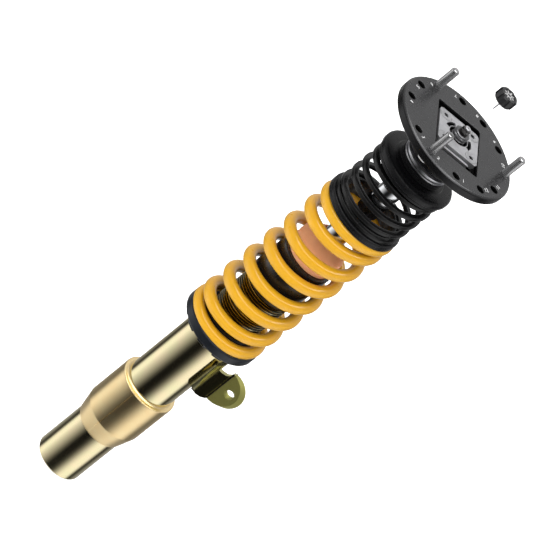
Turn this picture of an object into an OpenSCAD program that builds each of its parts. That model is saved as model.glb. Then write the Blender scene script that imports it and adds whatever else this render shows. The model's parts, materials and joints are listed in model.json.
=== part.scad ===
// Height-adjustable front strut (coilover) with a helper spring and a camber top mount.
// Frame: origin at the centre of the tube's bottom end, +Z up along the strut axis,
// +X towards the anti-roll-bar bracket. All lengths are in millimetres.

/* [Strut tube] */
// Outside radius of the plain lower tube, which the knuckle clamps
clamp_r = 25.5; // [24:0.1:27]
// Outside radius of the threaded upper tube
thread_r = 26; // [25:0.1:27]
// Bore radius of the tube
tube_bore_r = 22.5; // [21:0.1:23]
// Height of the tube's open top
tube_top = 352; // [340:1:360]
// Radius on the tube's bottom edge
tube_end_round = 2.9; // [0.5:0.1:2.9]
// Pitch of the adjusting thread
thread_pitch = 3; // [2:0.5:4]
// Depth of the adjusting thread
thread_depth = 0.9; // [0.3:0.1:1.2]
// Height at which the adjusting thread starts
thread_bottom = 229; // [220:1:235]

/* [Knuckle collar] */
// Height of the collar's lower end, where the knuckle stops
collar_bottom = 63.4; // [60:0.1:70]
// Height at which the collar's cone becomes a cylinder
collar_shoulder = 82.9; // [78:0.1:90]
// Height of the collar's upper end
collar_top = 133.8; // [125:0.1:140]
// Outside radius of the collar
collar_r = 31.1; // [29:0.1:34]
// Outside radius of the cone's lower end
collar_nose_r = 26.6; // [26:0.1:28]

/* [Anti-roll-bar bracket] */
// Height of the link hole's centre
link_z = 194.5; // [188:0.5:200]
// Distance of the link hole from the strut axis
link_x = 53.6; // [50:0.1:58]
// Radius of the link hole
link_hole_r = 5; // [4:0.5:6]
// Distance of the fold from the strut axis
fold_x = 42.5; // [40:0.5:45]
// Radius of the ear
ear_r = 20; // [18:0.5:22]
// Thickness of the ear
ear_t = 8; // [5:0.5:9]
// Height of the bracket's saddle on the tube
saddle_h = 50; // [44:1:56]

/* [Lower perch] */
// Outside radius of the spring plate
plate_r = 42; // [40:0.5:45]
// Height of the spring plate's underside
plate_bottom = 233; // [232:0.5:236]
// Thickness of the spring plate
plate_t = 10; // [7:0.5:12]
// Outside radius of the castellated adjuster ring
ring_r = 38.2; // [36:0.1:39]
// Height of the castellations' lower end
ring_bottom = 228.7; // [226:0.1:230]
// Number of castellations
ring_slots = 12; // [8:1:16]
// Angle of the ring's grub screw
grub_angle = -83.5; // [-90:0.5:-75]
// Outside radius of the hub inside the spring
perch_hub_r = 29.4; // [28.5:0.1:29.6]
// Height of the hub's top
perch_hub_top = 251.4; // [248:0.1:253]

/* [Main spring] */
// Wire diameter of the main spring
wire_d = 12; // [11:0.1:12.5]
// Mean radius of the main spring
spring_r = 36; // [35.7:0.1:37]
// Pitch of the active coils
active_pitch = 27.2; // [24:0.1:29]
// Number of active coils
active_turns = 5; // [4:1:5]
// Pitch at the tip of the lower closing coil
lower_tip_pitch = 9.8; // [8:0.1:14]
// Pitch at the tip of the upper closing coil
upper_tip_pitch = 9.8; // [7:0.1:14]

/* [Helper spring] */
// Outside radius of the helper spring
helper_r = 38.75; // [37:0.05:40]
// Radial width of the helper spring's flat wire
helper_wire_w = 6; // [4:0.1:6.2]
// Height of the helper spring's flat wire
helper_wire_h = 4.5; // [3.5:0.1:4.8]
// Pitch of the helper's active coils
helper_pitch = 13.6; // [12:0.1:14]

/* [Adapter and upper seat] */
// Outside radius of the ring between the two springs
adapter_r = 41; // [39:0.1:43]
// Thickness of that ring
adapter_t = 6.9; // [5:0.1:7]
// Outside radius of the upper spring seat
seat_r = 41; // [39:0.1:43]
// Height of the upper seat's underside
seat_bottom = 487; // [485:0.5:490]
// Thickness of the upper seat's flange
seat_t = 11; // [10.5:0.5:12]
// Radius of the upper seat's hub
seat_hub_r = 24.8; // [22:0.1:26]
// Height of the upper seat's hub top
seat_hub_top = 505; // [503:0.5:506]

/* [Bump stop and dust sleeve] */
// Outside radius of the dust sleeve
sleeve_r = 28; // [27.6:0.1:28.5]
// Height of the dust sleeve's lower end
sleeve_bottom = 303.8; // [290:0.1:320]
// Height of the dust sleeve's top
sleeve_top = 354.6; // [353:0.1:358]
// Outside radius of the bump stop
bump_r = 25; // [22:0.5:27]
// Height of the bump stop's top
bump_top = 387; // [375:1:395]

/* [Piston rod] */
// Radius of the piston rod
rod_r = 11; // [9:0.1:11.5]
// Height of the rod's shoulder under the top mount
rod_shoulder = 500; // [498:1:502]
// Radius of the rod's stem through the ball
stem_r = 7; // [6:0.5:7]
// Radius of the rod's threaded tip
tip_r = 5; // [4.6:0.1:5.2]
// Distance across the flats of the rod's hex end
rod_hex_af = 7.8; // [7:0.1:8]
// Height of the piston's underside at full droop
piston_bottom = 220; // [200:1:225]

/* [Top mount] */
// Radius of the top plate
top_plate_r = 65.4; // [64:0.1:70]
// Height of the top plate's underside
top_plate_bottom = 536.1; // [535.5:0.1:537.5]
// Thickness of the top plate
top_plate_t = 9.1; // [7.5:0.1:9.5]
// Radius of the circle through the studs
stud_circle_r = 56; // [54:0.5:58]
// Radius of the studs
stud_r = 4; // [3:0.5:4]
// Height of the studs' tips
stud_top = 569; // [560:1:575]
// Angle of the first stud
stud_angle = 25; // [15:1:35]
// Radius of the spare stud holes
spare_hole_r = 4.25; // [3.5:0.25:4.5]
// Width of the camber window across the adjustment
window_w = 50; // [49:0.5:52]
// Length of the camber window along the adjustment
window_l = 68.5; // [66:0.5:70]
// Shift of the window towards the negative end of the adjustment
window_shift = 1.25; // [0:0.25:2]
// Angle of the window's short side from +X
window_angle = 25; // [18:0.5:27]
// Side of the square camber plate
camber_side = 46.5; // [45:0.5:48]
// Height of the ball's centre
ball_z = 528; // [527:0.5:529]
// Radius of the ball
ball_r = 14; // [13:0.5:14]

/* [Adjuster knob] */
// Radius of the knob
knob_r = 10; // [8:0.5:12]
// Height of the knob's underside, drawn clear of the rod
knob_bottom = 599; // [590:1:610]
// Height of the knob
knob_h = 9.5; // [7:0.5:12]
// Number of finger scallops
knob_scallops = 8; // [6:1:9]
// Radius of the knob's key pin
key_r = 0.75; // [0.6:0.05:0.8]

/* [Hidden] */
$fn = 96;
fit = 0.05;         // radial clearance of a running fit
gap = 0.3;          // clearance between surfaces that only pass each other
eps = 0.01;         // overshoot of a cut
collar_seam = [0.8, 0.6];               // width and depth of the rolled collar's seam
saddle_z = link_z - 28.5;               // lower end of the bracket's saddle
plate_top = plate_bottom + plate_t;
wire_r = wire_d / 2;
spring_tip_z = plate_top + 2.5;         // centre of the wire at the lower ground tip
helper_bottom_z = plate_top + 188;      // where the helper spring rests on the adapter
adapter_bottom = helper_bottom_z - adapter_t;
helper_mean_r = helper_r - helper_wire_w / 2;
pilot_r = helper_r - helper_wire_w - 0.75;
adapter_bore_r = sleeve_r + gap + 0.1;
pressure_r = 16;                        // bore radius of the pressure tube
pressure_bottom = 12;
guide_bottom = tube_top - 30;
seal_bottom = tube_top - 14;
gland_bottom = tube_top - 9;
piston_t = 16;
needle_r = 1;
needle_count = 24;
top_face = top_plate_bottom + top_plate_t;
ledge_z = top_plate_bottom + 4;         // ledge in the window that the camber plate slides on
slide_gap = 0.1;                        // clearance over and under the sliding camber plate
lower_window = [40, 57];                // the window below the ledge
block_side = lower_window[0] - 0.5;
camber_bottom = ledge_z + slide_gap;
camber_top = camber_bottom + 5.7;
screw_offset = 16;                      // camber screws' distance from the plate's centre lines
screw_r = 2;                            // radius of the camber screws' shanks
shank_r = stud_r + 0.2;                 // radius of the studs' pressed-in shanks
housing_bottom = 513.5;
housing_r = 28;
liner_t = 1;
race_r = 20;
race_half = 7;                          // half the height of the ball joint's race
circlip_t = 1;
screw_bottom = ball_z + race_half + 1.9; // lower end of the camber screws, clear of the circlip
tip_top = 558.2;
nut_bottom = 537.5;
hex_bottom = 551.6;
key_len = 10.6;
spare_angles = [56, 85, 113, 171, 200, 242, 296.5, 327.5, 350];

// ---- shared shapes ----

// A round tube between two heights.
module tube(r_out, r_in, z0, z1) {
    translate([0, 0, z0]) difference() {
        cylinder(r = r_out, h = z1 - z0);
        translate([0, 0, -1]) cylinder(r = r_in, h = z1 - z0 + 2);
    }
}

// A solid of revolution about the strut axis, from [radius, height] points.
module turned(points) {
    rotate_extrude() polygon(points);
}

// Points of a quarter arc about a centre, from one angle to another.
function arc(c, r, a0, a1, n = 8) =
    [for (i = [0:n]) c + r * [cos(a0 + (a1 - a0) * i / n), sin(a0 + (a1 - a0) * i / n)]];

// A rectangle with round corners, centred on the origin.
module round_rect(w, l, r) {
    hx = w / 2 - r;
    hy = l / 2 - r;
    square([w, l - 2 * r], center = true);
    square([w - 2 * r, l], center = true);
    for (x = [-hx, hx], y = [-hy, hy]) translate([x, y]) circle(r = r);
}

// A closed solid swept through a list of rings, each a list of the same number of points.
module swept(rings) {
    n = len(rings[0]);
    m = len(rings);
    points = [for (ring = rings) each ring];
    sides = [for (i = [0:m - 2], j = [0:n - 1])
        [i * n + j, (i + 1) * n + j, (i + 1) * n + (j + 1) % n, i * n + (j + 1) % n]];
    lower = [[for (j = [0:n - 1]) j]];
    upper = [[for (j = [n - 1:-1:0]) (m - 1) * n + j]];
    polyhedron(points, concat(sides, lower, upper), convexity = 10);
}

// Ring lines that stand for a thread: an outline edge from the height z0 up to z1.
function thread_edge(r, depth, pitch, z0, z1) = [for (i = [0:floor((z1 - z0) / pitch) - 1])
    each [[r, z0 + i * pitch], [r, z0 + (i + 0.35) * pitch],
          [r - depth, z0 + (i + 0.6) * pitch], [r - depth, z0 + (i + 0.75) * pitch]]];

// ---- strut housing ----

module strut_tube() {
    color("#b39b5c") turned(concat(
        [[tube_bore_r, 0.0]],
        arc([clamp_r - tube_end_round, tube_end_round], tube_end_round, -90, 0),
        [[clamp_r, collar_bottom], [thread_r, collar_bottom], [thread_r, thread_bottom]],
        thread_edge(thread_r, thread_depth, thread_pitch, perch_hub_top + 1, tube_top - 3),
        [[thread_r, tube_top - 2], [thread_r - 1, tube_top], [tube_bore_r, tube_top]]));
}

module base_cap() {
    groove = [14, 16, 0.8];
    color("#a08b55") difference() {
        cylinder(r = tube_bore_r, h = 5);
        tube(groove[1], groove[0], -1, groove[2]);
    }
}

module knuckle_collar() {
    lip = 1;
    weld = 1.2;
    color("#d8b878") difference() {
        turned([
            [thread_r, collar_bottom], [collar_nose_r, collar_bottom],
            [collar_r, collar_shoulder], [collar_r, collar_top - lip],
            [collar_r - lip, collar_top], [thread_r + weld, collar_top],
            [thread_r, collar_top + weld]]);
        rotate([0, 0, -94.5]) translate([collar_r, 0, (collar_bottom + collar_top) / 2])
            cube([2 * collar_seam[1], collar_seam[0], collar_top - collar_bottom + 20], center = true);
    }
}

// The part of a thin shell around the tube that the bracket's saddle keeps.
module saddle() {
    t = 4.5;
    intersection() {
        tube(thread_r + t, thread_r, saddle_z, saddle_z + saddle_h);
        rotate([0, 0, -38]) translate([0, 0, saddle_z - 1]) cube([60, 60, saddle_h + 2]);
        rotate([0, 0, 30]) translate([0, -60, saddle_z - 1]) cube([60, 60, saddle_h + 2]);
        translate([15.5, -30, saddle_z]) rotate([0, 9, 0]) translate([0, 0, -20])
            cube([40, 60, saddle_h + 60]);
        translate([0, 3, saddle_z]) rotate([-33, 0, 0]) translate([0, -60, 0]) cube([60, 120, 90]);
    }
}

// The pressed web from the saddle out to the fold, hollow above and rounded below.
module web() {
    y0 = 3;
    t = 5;
    x0 = thread_r + 0.6;
    outline = [
        [x0, -30], [33, -30], [38, -28.3], [41.7, -25], [44, -21], [44, 18.4], [42, 14], [38, 9], [33, 7.2],
        [x0, 6.3]];
    translate([0, y0 + t, link_z]) rotate([90, 0, 0]) linear_extrude(t) polygon(outline);
}

// The half-round ear, whose back face lies further out than its front.
module ear() {
    shift = [5, -2];
    skin = 0.1;
    intersection() {
        hull() {
            translate([fold_x, 0, link_z - 1.2]) rotate([-90, 0, 0]) cylinder(r = ear_r, h = skin);
            translate([fold_x + shift[0], ear_t - skin, link_z - 1.2 + shift[1]]) rotate([-90, 0, 0])
                cylinder(r = ear_r, h = skin);
        }
        translate([fold_x - 1.5, -1, link_z - 40]) cube([40, ear_t + 2, 80]);
    }
}

module sway_bar_bracket() {
    color("#8f8345") difference() {
        union() {
            saddle();
            web();
            ear();
        }
        translate([link_x, -1, link_z]) rotate([-90, 0, 0]) cylinder(r = link_hole_r, h = ear_t + 2);
    }
}

module pressure_tube() {
    color("silver") tube(pressure_r + 1.5, pressure_r, pressure_bottom, guide_bottom);
}

module base_valve() {
    ports = 6;
    color("gray") difference() {
        turned([
            [0, 5], [pressure_r + 1.5, 5], [pressure_r + 1.5, pressure_bottom],
            [pressure_r, pressure_bottom], [pressure_r, pressure_bottom + 6], [0, pressure_bottom + 6]]);
        for (i = [0:ports - 1]) rotate([0, 0, i * 360 / ports])
            translate([10, 0, 8]) cylinder(r = 1.8, h = 20);
    }
}

module rod_guide() {
    color("darkgray") turned([
        [rod_r + fit, guide_bottom - 8], [pressure_r, guide_bottom - 8], [pressure_r, guide_bottom],
        [tube_bore_r, guide_bottom], [tube_bore_r, seal_bottom], [rod_r + fit, seal_bottom]]);
}

module rod_seal() {
    color("#222222") tube(tube_bore_r, rod_r + fit, seal_bottom, gland_bottom);
}

module gland_nut() {
    bore = 15;
    holes = 4;
    color("#555555") difference() {
        tube(tube_bore_r, bore, gland_bottom, tube_top);
        for (i = [0:holes - 1]) rotate([0, 0, i * 360 / holes])
            translate([19, 0, tube_top - 4]) cylinder(r = 1.8, h = 6, $fn = 32);
    }
}

module wiper_ring() {
    color("#202020") turned([
        [rod_r + fit, gland_bottom], [15, gland_bottom], [15, tube_top - 3],
        [rod_r + 1.6, tube_top - 0.5], [rod_r + fit, tube_top - 0.5]]);
}

// ---- lower perch ----

module spring_plate() {
    edge = 1.5;
    color("#3a3d42") turned([
        [perch_hub_r + 0.1, plate_bottom], [plate_r - edge, plate_bottom], [plate_r, plate_bottom + edge],
        [plate_r, plate_top - edge], [plate_r - edge, plate_top], [perch_hub_r + 0.1, plate_top]]);
}

module adjuster_ring() {
    slot_depth = 3.4;
    slot_w = 9;
    color("#34373c") difference() {
        turned([
            [thread_r + 0.08, ring_bottom], [ring_r - 1, ring_bottom], [ring_r, ring_bottom + 1],
            [ring_r, plate_bottom], [perch_hub_r, plate_bottom], [perch_hub_r, perch_hub_top - 1.6],
            [perch_hub_r - 1.6, perch_hub_top], [thread_r + 0.08, perch_hub_top]]);
        for (i = [0:ring_slots - 1]) rotate([0, 0, (i + 0.5) * 360 / ring_slots])
            translate([ring_r, 0, ring_bottom]) cube([2 * slot_depth, slot_w, 5], center = true);
        rotate([0, 0, grub_angle]) translate([thread_r - 1, 0, ring_bottom + 2.2])
            rotate([0, 90, 0]) cylinder(r = 1.5, h = 20, $fn = 32);
    }
}

module grub_screw() {
    color("#c0c0c0") rotate([0, 0, grub_angle]) translate([thread_r + 1, 0, ring_bottom + 2.2])
        rotate([0, 90, 0]) difference() {
            cylinder(r = 1.5, h = ring_r - thread_r - 1.6, $fn = 32);
            translate([0, 0, ring_r - thread_r - 3]) cylinder(r = 0.8, h = 4, $fn = 6);
        }
}

// ---- springs ----

// Height of the main spring's wire centre after a number of turns from the lower tip.
function main_z(turn) =
    let (last = 1 + active_turns,
         z1 = spring_tip_z + (lower_tip_pitch + active_pitch) / 2,
         z2 = z1 + active_turns * active_pitch)
    turn < 1 ? spring_tip_z + lower_tip_pitch * turn + (active_pitch - lower_tip_pitch) / 2 * turn * turn
    : turn < last ? z1 + active_pitch * (turn - 1)
    : let (v = turn - last) z2 + active_pitch * v + (upper_tip_pitch - active_pitch) / 2 * v * v;

module main_spring() {
    sides = 12;
    steps = 26;
    tip = 0.42;                             // share of a turn that each ground tip adds
    turns = 2 * tip + 2 + active_turns;
    top = adapter_bottom;
    rings = [for (i = [0:ceil(turns * steps)])
        let (turn = i / steps - tip, a = 360 * turn - 90, zc = main_z(turn))
        [for (j = [0:sides - 1])
            let (b = 360 * (j + 0.5) / sides, r = spring_r + wire_r * cos(b), z = zc + wire_r * sin(b))
            [r * cos(a), r * sin(a), min(top, max(plate_top, z))]]];
    color("#f0b028") swept(rings);
}

// Height of the helper spring's wire centre at an angle from the start of its active coils.
function helper_z(a) =
    let (low = helper_bottom_z + helper_wire_h / 2,
         high = seat_bottom - helper_wire_h / 2,
         rise = helper_pitch / 360,
         z180 = low + helper_wire_h)
    a < 0 ? low
    : a < 180 ? low + (z180 - low) * a / 180
    : min(high, z180 + rise * (a - 180));

module helper_spring() {
    step = 12;
    first = -168;
    last = 1596;
    w = helper_wire_w / 2;
    h = helper_wire_h / 2;
    corner = 0.8;
    outline = [[-w, -h + corner], [-w + corner, -h], [w - corner, -h], [w, -h + corner],
               [w, h - corner], [w - corner, h], [-w + corner, h], [-w, h - corner]];
    rings = [for (a = [first:step:last])
        [for (p = outline)
            [(helper_mean_r + p[0]) * cos(a), (helper_mean_r + p[0]) * sin(a), helper_z(a) + p[1]]]];
    color("#1c1c1e") swept(rings);
}

module spring_adapter() {
    edge = 1.8;
    color("#222224") turned([
        [adapter_bore_r, adapter_bottom - 6], [adapter_bore_r + 1, adapter_bottom - 6],
        [adapter_bore_r + 1, adapter_bottom],
        [adapter_r - 1, adapter_bottom], [adapter_r, adapter_bottom + 1],
        [adapter_r, helper_bottom_z - edge], [adapter_r - edge, helper_bottom_z],
        [pilot_r, helper_bottom_z], [pilot_r, helper_bottom_z + 4],
        [pilot_r - 1.5, helper_bottom_z + 5.5], [adapter_bore_r, helper_bottom_z + 5.5]]);
}

// ---- bump stop ----

module bump_stop() {
    color("#e09a78") turned([
        [rod_r + gap, sleeve_top], [bump_r - 1, sleeve_top], [bump_r, sleeve_top + 1],
        [bump_r, sleeve_top + 7], [bump_r - 2.5, sleeve_top + 9.2], [bump_r, sleeve_top + 11.4],
        [bump_r, sleeve_top + 17], [bump_r - 2, sleeve_top + 19], [rod_r + 3.5, bump_top - 2],
        [rod_r + 2, bump_top], [rod_r + gap, bump_top]]);
}

module dust_sleeve() {
    wall = sleeve_r - thread_r - 0.7;
    color("#18181a") turned([
        [sleeve_r - wall, sleeve_bottom], [sleeve_r, sleeve_bottom], [sleeve_r, sleeve_top - 1.2],
        [sleeve_r - 1.2, sleeve_top], [rod_r + gap, sleeve_top],
        [rod_r + gap, tube_top + 0.6], [sleeve_r - wall, tube_top + 0.6]]);
}

// ---- upper seat and thrust bearing ----

module upper_spring_seat() {
    edge = 4;
    pilot_depth = 6;
    rim_r = seat_r - 1.5;
    groove_r = rim_r - 1.2;
    color("#1d1d1f") turned(concat(
        [[rod_r + fit, seat_bottom - 2], [pilot_r - 6, seat_bottom - pilot_depth],
         [pilot_r, seat_bottom - pilot_depth], [pilot_r, seat_bottom]],
        arc([rim_r - 1, seat_bottom + 1], 1, -90, 0, 4),
        [[rim_r, seat_bottom + 3], [groove_r, seat_bottom + 3.3], [groove_r, seat_bottom + 3.9]],
        arc([seat_r - 2, seat_bottom + 6], 2, -90, 0, 4),
        arc([seat_r - edge, seat_bottom + seat_t - edge], edge, 0, 90),
        [[seat_hub_r, seat_bottom + seat_t], [seat_hub_r, seat_hub_top], [rod_r + fit, seat_hub_top]]));
}

module thrust_washer_lower() {
    color("#d0d0d0") tube(seat_hub_r, 13, seat_hub_top, seat_hub_top + 1.2);
}

module thrust_needles() {
    color("#b8b8b8") for (i = [0:needle_count - 1]) rotate([0, 0, i * 360 / needle_count])
        translate([15, 0, seat_hub_top + 1.2 + needle_r]) rotate([0, 90, 0])
            cylinder(r = needle_r - eps, h = 7, $fn = 24);
}

module needle_cage() {
    z0 = seat_hub_top + 1.2 + needle_r - 0.4;
    color("#a88a4a") difference() {
        tube(23.4, 13.6, z0, z0 + 0.8);
        for (i = [0:needle_count - 1]) rotate([0, 0, i * 360 / needle_count])
            translate([18.5, 0, z0]) cube([7.2, 2 * needle_r + 0.1, 4], center = true);
    }
}

module thrust_washer_upper() {
    color("#8a8a8c") tube(24, 13, seat_hub_top + 3.2, seat_hub_top + 4.2);
}

// ---- piston rod and what is fixed to it ----

module piston_rod() {
    bore_r = 2.1;
    color("#e4e6e8") difference() {
        union() {
            turned([
                [0, piston_bottom - 6], [6, piston_bottom - 6], [6, piston_bottom + piston_t],
                [rod_r, piston_bottom + piston_t], [rod_r, rod_shoulder - 1], [rod_r - 1, rod_shoulder],
                [stem_r, rod_shoulder], [stem_r, nut_bottom], [tip_r, nut_bottom],
                [tip_r, hex_bottom], [0, hex_bottom]]);
            translate([0, 0, hex_bottom]) cylinder(r = rod_hex_af / 2 / cos(30), h = 5, $fn = 6);
        }
        translate([0, 0, 300]) cylinder(r = bore_r, h = 300);
    }
}

module piston() {
    ports = 8;
    color("#9a9a9c") difference() {
        turned([
            [6, piston_bottom], [14.6, piston_bottom], [15.6, piston_bottom + 1], [15.6, piston_bottom + 4],
            [14.8, piston_bottom + 4], [14.8, piston_bottom + 12], [15.6, piston_bottom + 12],
            [15.6, piston_bottom + piston_t - 1], [14.6, piston_bottom + piston_t],
            [6, piston_bottom + piston_t]]);
        for (i = [0:ports - 1]) rotate([0, 0, i * 360 / ports])
            translate([12.4, 0, piston_bottom - 1]) cylinder(r = 1.2, h = piston_t + 2, $fn = 32);
    }
}

module piston_band() {
    color("#5a4632") tube(pressure_r - fit, 14.8, piston_bottom + 4, piston_bottom + 12);
}

module piston_nut() {
    color("#777777") difference() {
        translate([0, 0, piston_bottom - 7]) cylinder(r = 9.8, h = 7, $fn = 6);
        translate([0, 0, piston_bottom - 8]) cylinder(r = 6, h = 9);
    }
}

module rebound_bumper() {
    z0 = piston_bottom + piston_t;
    color("#c9a24a") turned([
        [rod_r, z0], [14, z0], [15, z0 + 2], [14.2, z0 + 5], [15, z0 + 8], [14, z0 + 10], [rod_r, z0 + 10]]);
}

module distance_sleeve() {
    z0 = seat_hub_top + 4.2;
    color("#2a2a2c") turned([
        [stem_r, rod_shoulder], [rod_r - 1, rod_shoulder], [rod_r, rod_shoulder + 1], [rod_r, z0], [19, z0],
        [19, z0 + 2], [10.2, z0 + 7], [9.4, ball_z - 9.6], [stem_r, ball_z - 9.6]]);
}

module uniball() {
    color("#dadde0") difference() {
        translate([0, 0, ball_z]) sphere(r = ball_r);
        translate([0, 0, ball_z - 30 - 9.6]) cube([60, 60, 60], center = true);
        translate([0, 0, ball_z + 30 + 9.5]) cube([60, 60, 60], center = true);
        translate([0, 0, ball_z - 20]) cylinder(r = stem_r, h = 40);
    }
}

module top_nut() {
    z0 = nut_bottom;
    neck_r = 7.9;
    groove = 0.7;
    color("#4a4b4e") difference() {
        turned([
            [tip_r, z0], [9.1, z0], [9.1, z0 + 5], [8.3, z0 + 5.8], [neck_r, z0 + 5.8],
            [neck_r, z0 + 8.2], [neck_r - groove, z0 + 8.7], [neck_r - groove, z0 + 9.3],
            [neck_r, z0 + 9.8], [neck_r, z0 + 11.4], [neck_r - groove, z0 + 11.9],
            [neck_r - groove, z0 + 12.5], [neck_r, z0 + 13], [neck_r, hex_bottom - 0.8],
            [neck_r - 0.8, hex_bottom], [tip_r, hex_bottom]]);
        for (i = [0:3]) rotate([0, 0, 45 + i * 90])
            translate([9.1, 0, z0 + 3]) cube([2, 2.4, 6.2], center = true);
    }
}

// ---- ball joint and camber carrier ----

// A spherical shell about the ball's centre, cut at equal heights above and below.
module ball_shell(r_in, r_out, half) {
    difference() {
        translate([0, 0, ball_z]) sphere(r = r_out);
        translate([0, 0, ball_z]) sphere(r = r_in);
        for (s = [-1, 1]) translate([0, 0, ball_z + s * (30 + half)]) cube([60, 60, 60], center = true);
    }
}

module uniball_liner() {
    color("#e8e4d8") ball_shell(ball_r + fit, ball_r + liner_t - fit, race_half - 0.8);
}

module uniball_race() {
    color("#c8ccd0") difference() {
        tube(race_r, 5, ball_z - race_half, ball_z + race_half);
        translate([0, 0, ball_z]) sphere(r = ball_r + liner_t);
    }
}

module race_circlip() {
    z0 = ball_z + race_half;
    color("#333335") difference() {
        tube(race_r + 0.6, race_r - 2.5, z0, z0 + circlip_t);
        rotate([0, 0, -90]) translate([race_r, 0, z0]) cube([10, 6, 10], center = true);
    }
}

module bearing_housing() {
    flange_t = 6;
    flange_z = top_plate_bottom - slide_gap - flange_t;
    mouth_r = 22.5;
    lip = 1.5;
    z_race = ball_z - race_half;
    color("#19191b") difference() {
        union() {
            turned([
                [0, housing_bottom], [housing_r - lip, housing_bottom], [housing_r, housing_bottom + lip],
                [housing_r, housing_bottom + 5], [housing_r - 2.5, housing_bottom + 8],
                [housing_r - 2.5, flange_z + 1], [0, flange_z + 1]]);
            rotate([0, 0, window_angle]) translate([0, 0, flange_z])
                linear_extrude(flange_t) round_rect(48, 48, 5);
            rotate([0, 0, window_angle]) translate([0, 0, flange_z])
                linear_extrude(camber_bottom - flange_z) round_rect(block_side, block_side, 3);
        }
        // mouth below the ball, which leaves the distance sleeve room to tilt
        turned([[0, housing_bottom - 1], [mouth_r, housing_bottom - 1], [mouth_r, housing_bottom + 1],
                [16.5, z_race], [0, z_race]]);
        translate([0, 0, z_race]) cylinder(r = race_r, h = 60);
        translate([0, 0, ball_z + race_half]) cylinder(r = race_r + 0.6, h = circlip_t + 0.05);
        rotate([0, 0, window_angle]) for (x = [-1, 1], y = [-1, 1])
            translate([x * screw_offset, y * screw_offset, screw_bottom - 0.2])
                cylinder(r = screw_r, h = 20, $fn = 48);
    }
}

// A kidney slot about the axis: a sector of a ring, between two angles less than 90 degrees apart.
module kidney(r, half_w, a0, a1, z0, h) {
    reach = 2 * r;
    translate([0, 0, z0]) linear_extrude(h) intersection() {
        difference() {
            circle(r = r + half_w);
            circle(r = r - half_w);
        }
        polygon([[0, 0], reach * [cos(a0), sin(a0)], reach * [cos(a1), sin(a1)]]);
    }
}

module camber_plate() {
    rail = [30, 2.6, 3.4];                  // width, thickness and height of the tongue's rail
    rail_y = camber_side / 2 + 3;
    t = camber_top - camber_bottom;
    color("#c6c6c9") difference() {
        rotate([0, 0, window_angle]) {
            translate([0, 0, camber_bottom]) linear_extrude(t) round_rect(camber_side, camber_side, 4.5);
            for (s = [-1, 1]) {
                translate([0, s * rail_y, camber_bottom + rail[2] / 2]) cube(rail, center = true);
                translate([0, s * (rail_y - 2), camber_bottom + 0.75])
                    cube([rail[0], 4, 1.5], center = true);
            }
        }
        translate([0, 0, camber_bottom - 1]) cylinder(r = 10.8, h = t + 2);
        for (a = [18, 163]) kidney(13.4, 1.9, a - 28, a + 28, camber_top - 3.5, 6);
        rotate([0, 0, window_angle]) for (x = [-1, 1], y = [-1, 1])
            translate([x * screw_offset, y * screw_offset, 0]) {
                translate([0, 0, camber_bottom - 1]) cylinder(r = screw_r + 0.3, h = t + 2, $fn = 48);
                translate([0, 0, camber_top - 3.5]) cylinder(r = 6.6, h = 5);
            }
    }
}

module camber_screws() {
    socket_points = 6;
    color("#b8b8bb") rotate([0, 0, window_angle]) for (x = [-1, 1], y = [-1, 1])
        translate([x * screw_offset, y * screw_offset, 0]) difference() {
            union() {
                translate([0, 0, camber_top - 3.5]) cylinder(r = 6.4, h = 3.5);
                translate([0, 0, screw_bottom])
                    cylinder(r = screw_r, h = camber_top - 3 - screw_bottom, $fn = 48);
            }
            translate([0, 0, camber_top - 2.6]) cylinder(r = 1.9, h = 4, $fn = 48);
            for (i = [0:socket_points - 1]) rotate([0, 0, i * 60])
                translate([1.9, 0, camber_top - 2.6]) cylinder(r = 0.75, h = 4, $fn = 24);
        }
}

// ---- top plate ----

module top_plate() {
    lower_edge = 1.3;
    upper_edge = 1.9;
    color("#4d4e50") difference() {
        turned([
            [0, top_plate_bottom], [top_plate_r - lower_edge, top_plate_bottom],
            [top_plate_r, top_plate_bottom + lower_edge], [top_plate_r, top_face - upper_edge],
            [top_plate_r - upper_edge, top_face], [0, top_face]]);
        rotate([0, 0, window_angle]) {
            translate([0, -window_shift, ledge_z]) linear_extrude(20) round_rect(window_w, window_l, 2.5);
            translate([0, 0, top_plate_bottom - 1]) linear_extrude(20)
                round_rect(lower_window[0], lower_window[1], 4);
        }
        for (a = spare_angles) rotate([0, 0, a])
            translate([stud_circle_r, 0, top_plate_bottom - 1]) cylinder(r = spare_hole_r, h = 20);
        for (i = [0:2]) rotate([0, 0, stud_angle + i * 120])
            translate([stud_circle_r, 0, top_plate_bottom - 1]) cylinder(r = shank_r, h = 20);
    }
}

module mount_studs() {
    head = [6.2, 2.5];
    color("#c9cbcd") for (i = [0:2]) rotate([0, 0, stud_angle + i * 120]) translate([stud_circle_r, 0, 0])
        turned([
            [0, top_plate_bottom - head[1]], [head[0], top_plate_bottom - head[1]],
            [head[0], top_plate_bottom], [shank_r, top_plate_bottom], [shank_r, top_face],
            [stud_r, top_face], [stud_r, stud_top - 1],
            [stud_r - 1, stud_top], [0, stud_top]]);
}

// ---- rebound adjuster ----

module adjuster_screw() {
    shaft_r = 2.05;
    color("#9fa1a4") difference() {
        turned([
            [0, 310], [shaft_r, 310], [shaft_r, hex_bottom + 5 + eps], [3, hex_bottom + 5 + eps],
            [3, tip_top - 0.3], [2.7, tip_top], [0, tip_top]]);
        translate([0, 0, tip_top - key_len - 0.4]) cylinder(r = key_r + fit, h = 20, $fn = 32);
    }
}

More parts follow.
